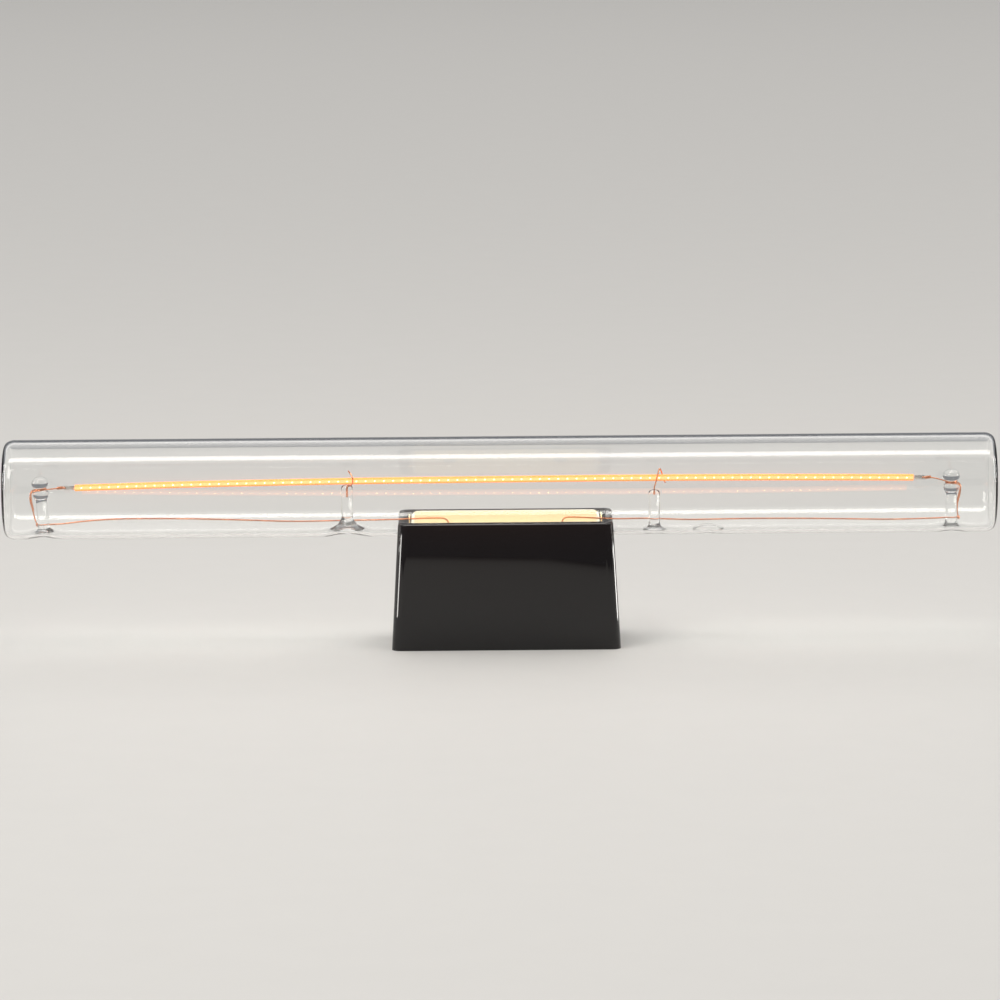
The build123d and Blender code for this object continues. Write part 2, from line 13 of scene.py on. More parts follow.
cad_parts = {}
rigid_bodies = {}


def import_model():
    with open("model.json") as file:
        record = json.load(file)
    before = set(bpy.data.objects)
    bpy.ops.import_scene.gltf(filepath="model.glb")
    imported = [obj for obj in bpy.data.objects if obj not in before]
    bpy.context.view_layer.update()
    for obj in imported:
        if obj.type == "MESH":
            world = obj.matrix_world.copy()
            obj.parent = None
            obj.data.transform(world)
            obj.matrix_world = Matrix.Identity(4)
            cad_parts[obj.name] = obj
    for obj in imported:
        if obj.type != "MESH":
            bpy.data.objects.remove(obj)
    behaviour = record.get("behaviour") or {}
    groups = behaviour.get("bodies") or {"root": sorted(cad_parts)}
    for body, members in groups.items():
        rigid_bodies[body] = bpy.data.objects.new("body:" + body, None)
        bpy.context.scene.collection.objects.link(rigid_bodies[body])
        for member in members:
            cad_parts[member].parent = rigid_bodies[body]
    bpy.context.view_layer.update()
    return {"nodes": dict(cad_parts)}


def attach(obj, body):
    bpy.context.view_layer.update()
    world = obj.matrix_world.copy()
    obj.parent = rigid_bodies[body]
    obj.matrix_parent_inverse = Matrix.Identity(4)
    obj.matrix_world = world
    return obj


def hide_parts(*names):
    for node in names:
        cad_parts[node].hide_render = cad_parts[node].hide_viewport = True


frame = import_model()


# Clear glass tube, 300 mm long and 30 mm across, drawn from soda-lime glass and closed at both ends.
# Its underside is drawn in where the posts were melted on, so it is swept from its own outline,
# pressed in at those four places, and then given its wall.

MM = 0.001
LAMP = Matrix.Translation(Vector((-1.7, 0, 47.5)) * MM)  # the tube's middle, over the holder
TUBE_HALF = 150 * MM
TUBE_R = 15 * MM
WALL = 1.0 * MM
END_DOME = 1.2 * MM
END_CORNER = 3.2 * MM
TROUGH_REACH = 1.7  # how far a trough runs out, in its half widths
TROUGH_BLEND = 0.9 * MM
TUBE_SIDES = 144
PRESSED = {  # place along the tube, depth and half width
    "end left": (-137.6 * MM, 1.3 * MM, 5.0 * MM),
    "end right": (136.1 * MM, 0.9 * MM, 4.5 * MM),
    "mid left": (-46.0 * MM, 1.6 * MM, 7.5 * MM),
    "mid right": (46.6 * MM, 0.5 * MM, 4.5 * MM),
}


def add_input(tree, name, kind, value=None):
    """A named input of a node group, with its value where it has one."""
    socket = tree.interface.new_socket(name, in_out="INPUT", socket_type="NodeSocket" + kind)
    if value is not None:
        socket.default_value = value
    return socket


def round_section_tree():
    """Node group: a path gets a round section whose size follows each point's own radius."""
    tree = bpy.data.node_groups.new("round_section", "GeometryNodeTree")
    add_input(tree, "Path", "Geometry")
    add_input(tree, "Section radius", "Float", 1.0)
    add_input(tree, "Sides", "Int", 16)
    add_input(tree, "Finish", "Material")
    tree.interface.new_socket("Mesh", in_out="OUTPUT", socket_type="NodeSocketGeometry")
    make, join = tree.nodes.new, tree.links.new
    given, result = make("NodeGroupInput"), make("NodeGroupOutput")
    circle, radius = make("GeometryNodeCurvePrimitiveCircle"), make("GeometryNodeInputRadius")
    sweep = make("GeometryNodeCurveToMesh")
    sweep.inputs["Fill Caps"].default_value = True
    soft, real = make("GeometryNodeSetShadeSmooth"), make("GeometryNodeRealizeInstances")
    paint = make("GeometryNodeSetMaterial")
    join(given.outputs["Sides"], circle.inputs["Resolution"])
    join(given.outputs["Section radius"], circle.inputs["Radius"])
    join(given.outputs["Path"], sweep.inputs["Curve"])
    join(circle.outputs["Curve"], sweep.inputs["Profile Curve"])
    join(radius.outputs["Radius"], sweep.inputs["Scale"])
    join(sweep.outputs["Mesh"], soft.inputs["Geometry"])
    join(soft.outputs["Geometry"], real.inputs["Geometry"])
    join(real.outputs["Geometry"], paint.inputs["Geometry"])
    join(given.outputs["Finish"], paint.inputs["Material"])
    join(paint.outputs["Geometry"], result.inputs["Mesh"])
    return tree


def press_tree():
    """Node group: the underside is drawn in to a soft trough across the tube at one place."""
    tree = bpy.data.node_groups.new("press_in", "GeometryNodeTree")
    add_input(tree, "Tube", "Geometry")
    add_input(tree, "Place", "Float", 0.0)
    add_input(tree, "Depth", "Float", MM)
    add_input(tree, "Half width", "Float", 5 * MM)
    add_input(tree, "Finish", "Material")
    tree.interface.new_socket("Mesh", in_out="OUTPUT", socket_type="NodeSocketGeometry")
    make, join = tree.nodes.new, tree.links.new
    given, result = make("NodeGroupInput"), make("NodeGroupOutput")
    position, parts = make("GeometryNodeInputPosition"), make("ShaderNodeSeparateXYZ")
    whole = make("ShaderNodeCombineXYZ")
    join(position.outputs["Position"], parts.inputs["Vector"])

    def calc(operation, *values):
        node = make("ShaderNodeMath")
        node.operation = operation
        for socket, value in zip(node.inputs, values):
            if isinstance(value, float):
                socket.default_value = value
            else:
                join(value, socket)
        return node.outputs["Value"]

    away = calc("ABSOLUTE", calc("SUBTRACT", parts.outputs["X"], given.outputs["Place"]))
    near = calc("DIVIDE", away, given.outputs["Half width"])
    bell = make("ShaderNodeMapRange")
    bell.interpolation_type = "SMOOTHERSTEP"
    bell.inputs["From Max"].default_value = TROUGH_REACH
    bell.inputs["To Min"].default_value = 1.0
    bell.inputs["To Max"].default_value = 0.0
    join(near, bell.inputs["Value"])
    clear_below = 2 * MM
    rise = calc("MULTIPLY", calc("ADD", given.outputs["Depth"], clear_below), bell.outputs["Result"])
    trough = calc("ADD", rise, -TUBE_R - clear_below)
    lifted = calc("SMOOTH_MAX", parts.outputs["Z"], trough, TROUGH_BLEND)
    join(parts.outputs["X"], whole.inputs["X"])
    join(parts.outputs["Y"], whole.inputs["Y"])
    join(lifted, whole.inputs["Z"])
    move, real = make("GeometryNodeSetPosition"), make("GeometryNodeRealizeInstances")
    paint = make("GeometryNodeSetMaterial")
    join(given.outputs["Tube"], move.inputs["Geometry"])
    join(whole.outputs["Vector"], move.inputs["Position"])
    join(move.outputs["Geometry"], real.inputs["Geometry"])
    join(real.outputs["Geometry"], paint.inputs["Geometry"])
    join(given.outputs["Finish"], paint.inputs["Material"])
    join(paint.outputs["Geometry"], result.inputs["Mesh"])
    return tree


def add_tree(piece, tree, **values):
    """The node group as a modifier of the piece, its inputs set by their identifiers."""
    modifier = piece.modifiers.new(tree.name, "NODES")
    modifier.node_group = tree
    for item in tree.interface.items_tree:
        key = item.name.replace(" ", "_").lower()
        if item.in_out == "INPUT" and key in values:
            modifier[item.identifier] = values[key]


def path_object(name, runs, closed=False):
    """A curve object of one or more runs, each a list of (point, radius)."""
    curve = bpy.data.curves.new(name, "CURVE")
    curve.dimensions = "3D"
    for run in runs:
        spline = curve.splines.new("POLY")
        spline.points.add(len(run) - 1)
        spline.use_cyclic_u = closed
        for spot, (point, radius) in zip(spline.points, run):
            spot.co = (*point, 1)
            spot.radius = radius
    holder = bpy.data.objects.new(name + " path", curve)
    bpy.context.collection.objects.link(holder)
    return holder


def settle(name, made, place=Matrix.Identity(4), walled=False):
    """The made object's evaluated mesh as a plain object. Its faces are turned outwards, unless it has
    its wall already, whose inside looks the right way."""
    bpy.context.view_layer.update()
    seen = made.evaluated_get(bpy.context.evaluated_depsgraph_get())
    mesh = bpy.data.meshes.new_from_object(seen)
    bpy.data.objects.remove(made)
    mesh.transform(place)
    mesh.name = name
    form = bmesh.new()
    form.from_mesh(mesh)
    if not walled:
        bmesh.ops.remove_doubles(form, verts=form.verts, dist=0.004 * MM)
        bmesh.ops.recalc_face_normals(form, faces=form.faces)
    form.to_mesh(mesh)
    form.free()
    piece = bpy.data.objects.new(name, mesh)
    bpy.context.collection.objects.link(piece)
    return piece


def material(name, colour, roughness, metallic=0.0, grain=0.0, grain_size=1.0, mottle=0.0, wear=0.0):
    """A principled finish whose colour is mottled and whose surface has a fine grain."""
    clouds_per_metre, grains_per_metre, grain_depth = 260.0, 2600.0, 0.02 * MM
    finish = bpy.data.materials.new(name)
    finish.use_nodes = True
    make, join = finish.node_tree.nodes.new, finish.node_tree.links.new
    shader = finish.node_tree.nodes["Principled BSDF"]
    shader.inputs["Metallic"].default_value = metallic
    shader.inputs["Roughness"].default_value = roughness
    place = make("ShaderNodeTexCoord").outputs["Object"]
    cloud = make("ShaderNodeTexNoise")
    cloud.inputs["Scale"].default_value = clouds_per_metre / grain_size
    cloud.inputs["Detail"].default_value = 5.0
    join(place, cloud.inputs["Vector"])
    tone = make("ShaderNodeMix")
    tone.data_type = "RGBA"
    tone.inputs["A"].default_value = (*[c * (1 - mottle) for c in colour], 1)
    tone.inputs["B"].default_value = (*[min(c * (1 + mottle), 1) for c in colour], 1)
    join(cloud.outputs["Fac"], tone.inputs["Factor"])
    join(tone.outputs["Result"], shader.inputs["Base Color"])
    if wear:
        spread = make("ShaderNodeMapRange")
        spread.inputs["From Min"].default_value = 0.3
        spread.inputs["From Max"].default_value = 0.7
        spread.inputs["To Min"].default_value = max(roughness - wear, 0.02)
        spread.inputs["To Max"].default_value = roughness + wear
        join(cloud.outputs["Fac"], spread.inputs["Value"])
        join(spread.outputs["Result"], shader.inputs["Roughness"])
    if grain:
        fine = make("ShaderNodeTexNoise")
        fine.inputs["Scale"].default_value = grains_per_metre / grain_size
        fine.inputs["Detail"].default_value = 3.0
        bump = make("ShaderNodeBump")
        bump.inputs["Strength"].default_value = grain
        bump.inputs["Distance"].default_value = grain_depth
        join(place, fine.inputs["Vector"])
        join(fine.outputs["Fac"], bump.inputs["Height"])
        join(bump.outputs["Normal"], shader.inputs["Normal"])
    return finish


def clear_glass():
    """Clear drawn glass: smooth, faintly uneven along its length, and letting the light through."""
    along = 0.18  # the unevenness is drawn out along the tube
    finish = bpy.data.materials.new("clear drawn glass")
    finish.use_nodes = True
    make, join = finish.node_tree.nodes.new, finish.node_tree.links.new
    glass = finish.node_tree.nodes["Principled BSDF"]
    out = finish.node_tree.nodes["Material Output"]
    glass.inputs["Roughness"].default_value = 0.0
    glass.inputs["IOR"].default_value = 1.47
    glass.inputs["Transmission Weight"].default_value = 1.0
    place = make("ShaderNodeTexCoord").outputs["Object"]
    drawn = make("ShaderNodeMapping")
    drawn.inputs["Scale"].default_value = (along, 1, 1)
    wave = make("ShaderNodeTexNoise")
    wave.inputs["Scale"].default_value = 70.0
    wave.inputs["Detail"].default_value = 2.0
    bump = make("ShaderNodeBump")
    bump.inputs["Strength"].default_value = 0.25
    bump.inputs["Distance"].default_value = 0.06 * MM
    tint = make("ShaderNodeMix")
    tint.data_type = "RGBA"
    tint.inputs["A"].default_value = (0.985, 0.995, 0.99, 1)
    tint.inputs["B"].default_value = (1, 1, 1, 1)
    join(place, drawn.inputs["Vector"])
    join(drawn.outputs["Vector"], wave.inputs["Vector"])
    join(wave.outputs["Fac"], bump.inputs["Height"])
    join(wave.outputs["Fac"], tint.inputs["Factor"])
    join(tint.outputs["Result"], glass.inputs["Base Color"])
    join(bump.outputs["Normal"], glass.inputs["Normal"])
    through, path = make("ShaderNodeBsdfTransparent"), make("ShaderNodeLightPath")
    mix = make("ShaderNodeMixShader")
    through.inputs["Color"].default_value = (0.94, 0.95, 0.95, 1)
    join(path.outputs["Is Shadow Ray"], mix.inputs["Fac"])
    join(glass.outputs["BSDF"], mix.inputs[1])
    join(through.outputs["BSDF"], mix.inputs[2])
    join(mix.outputs["Shader"], out.inputs["Surface"])
    return finish


ROUND = round_section_tree()
PRESS = press_tree()
GLASS = clear_glass()


def tube_outline(steps):
    """Points and radii of the tube from end to end: domed end, round corner, straight wall."""
    corner_width, squareness, tip_r, straight_steps = 0.75 * END_CORNER, 0.9, 0.02 * MM, 150
    dome_r = (TUBE_R**2 + END_DOME**2) / (2 * END_DOME)
    reach = TUBE_R - corner_width
    half = []
    for step in range(steps + 1):
        r = reach * step / steps
        half.append((TUBE_HALF - dome_r + math.sqrt(dome_r**2 - r**2), max(r, tip_r)))
    corner_x = half[-1][0]
    for step in range(1, 2 * steps + 1):
        turn = math.pi / 2 * step / (2 * steps)
        x = corner_x - END_CORNER * (1 - math.cos(turn))
        half.append((x, reach + (TUBE_R - reach) * math.sin(turn) ** squareness))
    last = half[-1][0]
    middle = [(last - 2 * last * step / straight_steps, TUBE_R) for step in range(1, straight_steps)]
    return [(Vector((x, 0, 0)), r) for x, r in half + middle + [(-x, r) for x, r in half[::-1]]]


tube = path_object("glass_tube", [tube_outline(steps=8)])
add_tree(tube, ROUND, section_radius=1.0, sides=TUBE_SIDES, finish=GLASS)
tube = settle("glass tube blank", tube)
for place, depth, half_width in PRESSED.values():
    add_tree(tube, PRESS, place=place, depth=depth, half_width=half_width, finish=GLASS)
wall = tube.modifiers.new("wall", "SOLIDIFY")
wall.thickness = WALL
wall.offset = -1
tube = settle("glass_tube_blown", tube, LAMP, walled=True)
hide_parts("glass_tube")


# Four glass posts stand on the drawn-in places. The two at the ends have a melted bead, a groove for
# the lead and a collar, and the two in the middle only a softened top over a flared foot.

END_POST_X = {side: PRESSED["end " + side][0] for side in ("left", "right")}
END_POST_LEAN = {"left": -4.0, "right": 0.0}  # the left one leans outwards from its foot
END_FLARE = {"left": 3.0, "right": 2.5}
MID_POST_X = {side: PRESSED["mid " + side][0] for side in ("left", "right")}
MID_FLARE = {"left": 5.2, "right": 3.5}
MID_FLARE_HIGH = {"left": 2.9, "right": 1.2}
MID_TOP = {"left": 0.75, "right": -1.5}
STEM = 1.7
NECK = 1.5
COLLAR = 2.4
BEAD = {"low": 0.5, "widest": 1.8, "top": 3.9, "radius": 2.55}
FOOT_HEIGHT = -11.0
INNER_FLOOR = -(TUBE_R - WALL) / MM
SUNK = 0.35  # how far a foot has run into the wall
TIP = 0.03  # where an outline closes


def leaning(degrees):
    """The turn of a post about its foot, in millimetres from the tube's middle."""
    foot = Matrix.Translation((0, 0, FOOT_HEIGHT))
    return foot @ Matrix.Rotation(math.radians(degrees), 4, "Y") @ foot.inverted()


def post_points(outline, x, lean=0.0):
    """An upright path from heights and radii in millimetres, eased between them."""
    steps, easings = 6, 2
    tilt = leaning(lean)
    spots = []
    for (low, r0), (high, r1) in zip(outline, outline[1:]):
        for step in range(steps):
            t = step / steps
            spots.append((low + (high - low) * t, r0 + (r1 - r0) * t))
    spots.append(outline[-1])
    for _ in range(easings):
        inner = [(z, (a[1] + 2 * r + b[1]) / 4) for a, (z, r), b in zip(spots, spots[1:], spots[2:])]
        spots = [spots[0]] + inner + [spots[-1]]
    return [(tilt @ Vector((0, 0, z)) * MM + Vector((x, 0, 0)), r * MM) for z, r in spots]


def bead_outline(low, widest, top, radius):
    """Heights and radii of a melted bead: flatter below its widest place, domed above."""
    under, fullness = 60, 0.75  # where the bead starts below its widest place, in degrees, and how full it is
    outline = []
    for degrees in range(-under, 91, 10):
        turn = math.radians(degrees)
        reach = (widest - low) / math.sin(math.radians(under)) if degrees < 0 else top - widest
        outline.append((widest + reach * math.sin(turn), max(radius * math.cos(turn) ** fullness, TIP)))
    return outline


posts = []
for side in ("left", "right"):
    foot = INNER_FLOOR + PRESSED["end " + side][1] / MM - SUNK
    flare = END_FLARE[side]
    outline = [(foot, flare), (foot + 0.5, flare - 0.3), (foot + 1.2, STEM + 0.2), (foot + 2.4, STEM)]
    outline += [(-3.0, STEM), (-2.1, COLLAR - 0.1), (-1.2, COLLAR), (-0.6, COLLAR - 0.1)]
    outline += [(-0.4, NECK), (0.4, NECK)] + bead_outline(**BEAD)
    posts.append(post_points(outline, END_POST_X[side], END_POST_LEAN[side]))
    foot = INNER_FLOOR + PRESSED["mid " + side][1] / MM - SUNK
    flare, high, top = MID_FLARE[side], MID_FLARE_HIGH[side], MID_TOP[side]
    outline = [(foot, flare), (foot + 0.3, flare * 0.9), (foot + 0.35 + 0.35 * high, (flare + 2 * STEM) / 3),
               (foot + 0.5 + high, STEM), (top - 0.8, STEM), (top - 0.3, 1.4), (top - 0.05, 0.8), (top, TIP)]
    posts.append(post_points(outline, MID_POST_X[side]))
posts = path_object("glass_posts", posts)
add_tree(posts, ROUND, section_radius=1.0, sides=40, finish=GLASS)
posts = settle("glass_posts", posts, LAMP)


# The ring inside the wall where the pumping tube was melted off, and the beads of glass round the two
# wires where they leave the tube. All of it is the tube's own glass, run and frozen.

EXHAUST_X = 62.8 * MM
EXHAUST_R = 4.2 * MM
RING_STEPS = 72
LIP_R, LIP_CHANGE, LIP_RISE = 0.42, 0.1, 0.1  # in millimetres: the glass ran a little unevenly
FEED_X = 17 * MM
SEAL_OUTLINE = [(-15.9, 0.4), (-15.6, 1.0), (-14.7, 1.4), (-13.9, 1.4), (-12.9, 0.95), (-12.45, 0.4)]

ring = []
for step in range(RING_STEPS):
    turn = 2 * math.pi * step / RING_STEPS
    y = EXHAUST_R * math.sin(turn)
    lip = (LIP_R + LIP_CHANGE * math.sin(3 * turn + 0.6)) * MM
    wall_z = -math.sqrt((TUBE_R - WALL) ** 2 - y**2)
    ring.append((Vector((EXHAUST_X + EXHAUST_R * math.cos(turn), y, wall_z + LIP_RISE * MM)), lip))
ring = path_object("exhaust_ring", [ring], closed=True)
add_tree(ring, ROUND, section_radius=1.0, sides=14, finish=GLASS)
ring = settle("exhaust_ring", ring, LAMP)

beads = [post_points(SEAL_OUTLINE, place - LAMP.translation.x) for place in (-FEED_X, FEED_X)]
beads = path_object("wire_seals", beads)
add_tree(beads, ROUND, section_radius=1.0, sides=28, finish=GLASS)
beads = settle("wire_seals", beads, LAMP)
for piece in (tube, posts, ring, beads):
    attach(piece, "root")


# The filament is one flexible strip of light-emitting chips in amber silicone, 1.3 by 1.9 mm. It arches
# a little between its ends and shows a chip every 2.75 mm, as a bump that glows brighter.

FILAMENT_W = 1.3 * MM
FILAMENT_H = 1.9 * MM
CHIP_PITCH = 2.75 * MM
CHIP_R = 0.5 * MM
CHIP_STRETCH = (1.9, 1.42, 1.25)  # along the strip, across it and up it
BARE_END = 0.008  # share of the strip's length without chips, at each end
STRIP_CORNER = 0.5 * MM
FILAMENT_LINE = [(-128.0, 0, 0.45), (-95.0, 0, 1.25), (-46.0, 0, 1.85), (0.0, 0, 2.05),
                 (46.6, 0, 2.15), (90.0, 0, 1.95), (124.7, 0, 1.55)]


def bent(points, steps=6):
    """A dense path through given points in millimetres, its corners rounded as far as they allow."""
    rounded_share = 0.45  # of the shorter side at each corner
    spots = [Vector(p) * MM for p in points]
    path = [spots[0]]
    for before, corner, after in zip(spots, spots[1:], spots[2:]):
        back, ahead = before - corner, after - corner
        reach = rounded_share * min(back.length, ahead.length)
        start, stop = corner + back.normalized() * reach, corner + ahead.normalized() * reach
        for step in range(steps + 1):
            t = step / steps
            path.append(start * (1 - t) ** 2 + corner * 2 * t * (1 - t) + stop * t**2)
    return path + [spots[-1]]


def strip_tree():
    """Node group: a path gets a flat section with rounded corners, and bumps at a pitch on both sides."""
    tree = bpy.data.node_groups.new("chip_strip", "GeometryNodeTree")
    add_input(tree, "Path", "Geometry")
    add_input(tree, "Width", "Float", FILAMENT_W)
    add_input(tree, "Height", "Float", FILAMENT_H)
    add_input(tree, "Pitch", "Float", CHIP_PITCH)
    add_input(tree, "Coat", "Material")
    add_input(tree, "Chips", "Material")
    tree.interface.new_socket("Mesh", in_out="OUTPUT", socket_type="NodeSocketGeometry")
    make, join = tree.nodes.new, tree.links.new
    given, result = make("NodeGroupInput"), make("NodeGroupOutput")
    face = make("GeometryNodeCurvePrimitiveQuadrilateral")
    corner = make("GeometryNodeFilletCurve")
    corner.mode = "POLY"
    corner.inputs["Count"].default_value = 5
    corner.inputs["Radius"].default_value = STRIP_CORNER
    sweep = make("GeometryNodeCurveToMesh")
    sweep.inputs["Fill Caps"].default_value = True
    coat = make("GeometryNodeSetMaterial")
    spot, parts = make("GeometryNodeInputPosition"), make("ShaderNodeSeparateXYZ")
    share = make("ShaderNodeMath")
    share.operation = "DIVIDE"
    keep = make("GeometryNodeStoreNamedAttribute")
    keep.inputs["Name"].default_value = "up the strip"
    join(given.outputs["Width"], face.inputs["Width"])
    join(given.outputs["Height"], face.inputs["Height"])
    join(face.outputs["Curve"], corner.inputs["Curve"])
    join(corner.outputs["Curve"], keep.inputs["Geometry"])
    join(spot.outputs["Position"], parts.inputs["Vector"])
    join(parts.outputs["Y"], share.inputs[0])
    join(given.outputs["Height"], share.inputs[1])
    join(share.outputs["Value"], keep.inputs["Value"])
    join(given.outputs["Path"], sweep.inputs["Curve"])
    join(keep.outputs["Geometry"], sweep.inputs["Profile Curve"])
    join(sweep.outputs["Mesh"], coat.inputs["Geometry"])
    join(given.outputs["Coat"], coat.inputs["Material"])
    spaced = make("GeometryNodeResampleCurve")
    spaced.mode = "LENGTH"
    join(given.outputs["Pitch"], spaced.inputs["Length"])
    inner = make("GeometryNodeTrimCurve")
    first, last = 2, 3  # its sockets for the start and end factors share their names with two others
    inner.inputs[first].default_value = BARE_END
    inner.inputs[last].default_value = 1 - BARE_END
    join(given.outputs["Path"], inner.inputs["Curve"])
    join(inner.outputs["Curve"], spaced.inputs["Curve"])
    bump = make("GeometryNodeMeshIcoSphere")
    bump.inputs["Radius"].default_value = CHIP_R
    bump.inputs["Subdivisions"].default_value = 2
    place = make("GeometryNodeInstanceOnPoints")
    place.inputs["Scale"].default_value = CHIP_STRETCH
    chips = make("GeometryNodeSetMaterial")
    join(spaced.outputs["Curve"], place.inputs["Points"])
    join(bump.outputs["Mesh"], place.inputs["Instance"])
    join(place.outputs["Instances"], chips.inputs["Geometry"])
    join(given.outputs["Chips"], chips.inputs["Material"])
    both, soft = make("GeometryNodeJoinGeometry"), make("GeometryNodeSetShadeSmooth")
    real = make("GeometryNodeRealizeInstances")
    join(coat.outputs["Geometry"], both.inputs["Geometry"])
    join(chips.outputs["Geometry"], both.inputs["Geometry"])
    join(both.outputs["Geometry"], soft.inputs["Geometry"])
    join(soft.outputs["Geometry"], real.inputs["Geometry"])
    join(real.outputs["Geometry"], result.inputs["Mesh"])
    return tree


def glowing_coat():
    """Amber silicone that gives light: pale gold along the chips, deep amber at its two thin edges."""
    heart_light, edge_light = (2.1, 0.60, 0.29, 1), (0.9, 0.15, 0.0, 1)
    finish = material("amber silicone coat", (0.75, 0.30, 0.06), 0.35, grain=0.3, mottle=0.06)
    make, join = finish.node_tree.nodes.new, finish.node_tree.links.new
    shader = finish.node_tree.nodes["Principled BSDF"]
    strip, away, share = make("ShaderNodeAttribute"), make("ShaderNodeMath"), make("ShaderNodeMapRange")
    light = make("ShaderNodeMix")
    strip.attribute_name = "up the strip"
    away.operation = "ABSOLUTE"
    share.interpolation_type = "SMOOTHSTEP"
    share.inputs["From Min"].default_value = 0.10
    share.inputs["From Max"].default_value = 0.46
    light.data_type = "RGBA"
    light.inputs["A"].default_value = heart_light
    light.inputs["B"].default_value = edge_light
    join(strip.outputs["Fac"], away.inputs[0])
    join(away.outputs["Value"], share.inputs["Value"])
    join(share.outputs["Result"], light.inputs["Factor"])
    join(light.outputs["Result"], shader.inputs["Emission Color"])
    shader.inputs["Emission Strength"].default_value = 1.0
    return finish


def glowing_chip():
    """The phosphor over one chip, bright enough to look nearly white."""
    finish = material("lit chip", (1.0, 0.80, 0.40), 0.35, grain=0.3, mottle=0.06)
    shader = finish.node_tree.nodes["Principled BSDF"]
    shader.inputs["Emission Color"].default_value = (1.0, 0.66, 0.24, 1)
    shader.inputs["Emission Strength"].default_value = 8.0
    return finish


AMBER = glowing_coat()
CHIP = glowing_chip()
line = [(point, 1.0) for point in bent(FILAMENT_LINE, steps=8)]
filament = path_object("filament", [line])
add_tree(filament, strip_tree(), width=FILAMENT_W, height=FILAMENT_H, pitch=CHIP_PITCH,
         coat=AMBER, chips=CHIP)
filament = settle("lit_filament", filament, LAMP)
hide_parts("led_filament")
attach(filament, "root")


# Copper wires: a lead at each end, twisted at the tab, wound twice round the post's groove and welded
# at the foot to a long feed wire, which runs along the tube's bottom and out through its seal.

LEAD_R = 0.2 * MM
FEED_R = 0.25 * MM
COPPER = material("bright copper wire", (0.72, 0.33, 0.19), 0.24, metallic=1.0, grain=0.4, mottle=0.18,
                  wear=0.08)
FEED_LINES = {
    "left": [(-139.6, 1.2, -11.0), (-137.2, 2.35, -11.15), (-132.5, 2.3, -11.0),
             (-124.4, 2.2, -10.0), (-114.8, 2.2, -9.45), (-96.4, 2.3, -9.55),
             (-78.6, 2.5, -10.15), (-62.3, 2.9, -10.95), (-46.6, 3.6, -10.8),
             (-33.0, 2.6, -10.5), (-21.0, 0.9, -9.8), (-15.3, 0, -9.7), (-15.3, 0, -20.6)],
    "right": [(138.4, 1.2, -11.0), (136.6, 2.35, -11.1), (133.3, 2.3, -11.3),
              (118.9, 2.3, -11.7), (94.1, 2.2, -11.1), (74.5, 2.2, -10.95),
              (57.4, 2.5, -11.25), (49.8, 2.6, -10.95), (44.7, 2.6, -10.7),
              (34.1, 2.3, -10.8), (23.4, 0.9, -9.9), (18.7, 0, -9.7), (18.7, 0, -20.6)],
}
BULGE = {"left": 3.4, "right": 2.9}  # how far a lead stands off its post
TAB_LENGTH = 3.4
EYE_INSET = 0.7  # from the tab's end to its hole
GROOVE_COIL = {"radius": 1.68, "pitch": 0.38, "turns": 2.0, "phase": 0.4}
TAB_COIL = {"radius": 0.3, "pitch": 0.42, "turns": 4.0}
ALONG_LEAD = Matrix.Rotation(math.radians(84), 4, "Y")
WELD_R = 0.5 * MM
WELD_HALF = 0.55 * MM
WELD_TIP = 0.01 * MM


def helix(centre, axis_turn, radius, pitch, turns, phase=0.0):
    """Points of a coil round Z, turned and set at its centre, in millimetres."""
    steps_a_turn = 28
    count = int(steps_a_turn * turns)
    spots = []
    for step in range(count + 1):
        a = 2 * math.pi * turns * step / count + phase
        z = pitch * turns * (step / count - 0.5)
        spots.append(axis_turn @ Vector((radius * math.cos(a), radius * math.sin(a), z)) + Vector(centre))
    return spots


for side, sign in (("left", -1), ("right", 1)):
    lean = leaning(END_POST_LEAN[side])
    post = END_POST_X[side] / MM + (lean @ Vector((0, 0, 0))).x
    tip_x, _, tip_z = FILAMENT_LINE[0 if sign < 0 else -1]
    eye = tip_x + sign * (TAB_LENGTH - EYE_INSET)
    feed = path_object("feed_wire_" + side, [[(p, 1.0) for p in bent(FEED_LINES[side])]])
    add_tree(feed, ROUND, section_radius=FEED_R, sides=12, finish=COPPER)
    feed = settle("copper_feed_" + side, feed, LAMP)
    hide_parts("feed_wire_" + side)
    bulge = BULGE[side]
    to_post = [(eye, 0.6, tip_z), (eye, -0.45, tip_z), (eye + sign * 1.6, -0.5, tip_z + 0.15),
               (eye + sign * 3.9, -0.9, tip_z - 0.15), (post, -1.7, 0.1)]
    down = [(post, 1.7, -0.1), (post + sign * 2.9, 1.3, -0.3), (post + sign * bulge, 0.7, -3.0),
            (post + sign * (bulge - 1.0), 0.6, -6.6), (post + sign * 1.9, 1.0, -9.2), FEED_LINES[side][0]]
    second = [(post, -1.7, -0.1), (post + sign * 2.9, -1.4, -0.5),
              (post + sign * (bulge - 0.7), -0.4, -3.6), (post + sign * (bulge - 1.2), 0.6, -6.4)]
    groove = helix((post, 0, 0.05), lean.to_3x3(), **GROOVE_COIL)
    twist = helix((eye + sign * 1.7, -0.5, tip_z + 0.1), ALONG_LEAD, **TAB_COIL)
    runs = [[(p, 1.0) for p in bent(run)] for run in (to_post, down, second)]
    runs += [[(p * MM, 1.0) for p in coil] for coil in (groove, twist)]
    weld = Vector(FEED_LINES[side][0]) * MM
    drop = [(Vector((0, 0, -WELD_HALF * math.cos(a))) + weld, max(WELD_R * math.sin(a), WELD_TIP) / LEAD_R)
            for a in [math.pi * step / 10 for step in range(11)]]
    lead = path_object("end_lead_" + side, runs + [drop])
    add_tree(lead, ROUND, section_radius=LEAD_R, sides=10, finish=COPPER)
    lead = settle("copper_lead_" + side, lead, LAMP)
    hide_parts("end_lead_" + side)
    for piece in (feed, lead):
        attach(piece, "root")


